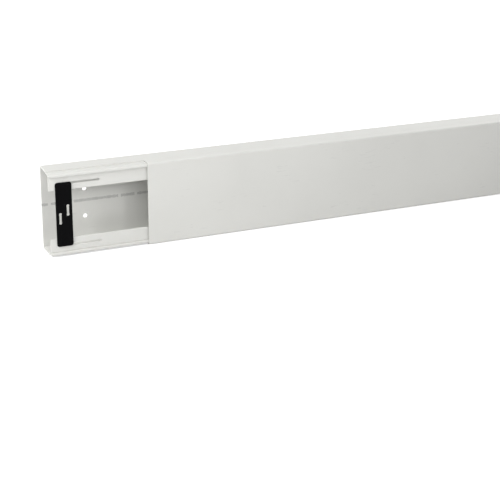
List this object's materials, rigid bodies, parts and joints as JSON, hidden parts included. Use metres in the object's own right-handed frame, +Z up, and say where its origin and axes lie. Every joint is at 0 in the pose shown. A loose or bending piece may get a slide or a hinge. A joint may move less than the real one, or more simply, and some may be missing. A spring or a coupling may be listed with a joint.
{
  "type": "cable trunking",
  "caption": "Rectangular wall trunking for cables: open base profile with inward rails, a hooked cover that slides along it, and a bar clip across the mouth.",
  "frame": {"origin": "middle of the underside, halfway between the base's open end and the cover's far end", "axes": "+X along the stock, from the open end of the base to the cover's far end; +Y towards the wall that the base is fixed to; +Z up"},
  "size_m": [2.175, 0.06, 0.15],
  "materials": {
    "light_grey_pvc": "satin",
    "light_grey_cover_pvc": "satin",
    "black_plastic": "matte"
  },
  "bodies": {
    "base": {"base_channel": "light_grey_pvc", "retaining_clip": "black_plastic"},
    "cover": {"cover": "light_grey_cover_pvc"}
  },
  "joints": [
    {"name": "cover_slide", "type": "slide", "parent": "base", "child": "cover", "axis": [1, 0, 0], "range_m": [-0.175, 0.6]}
  ]
}
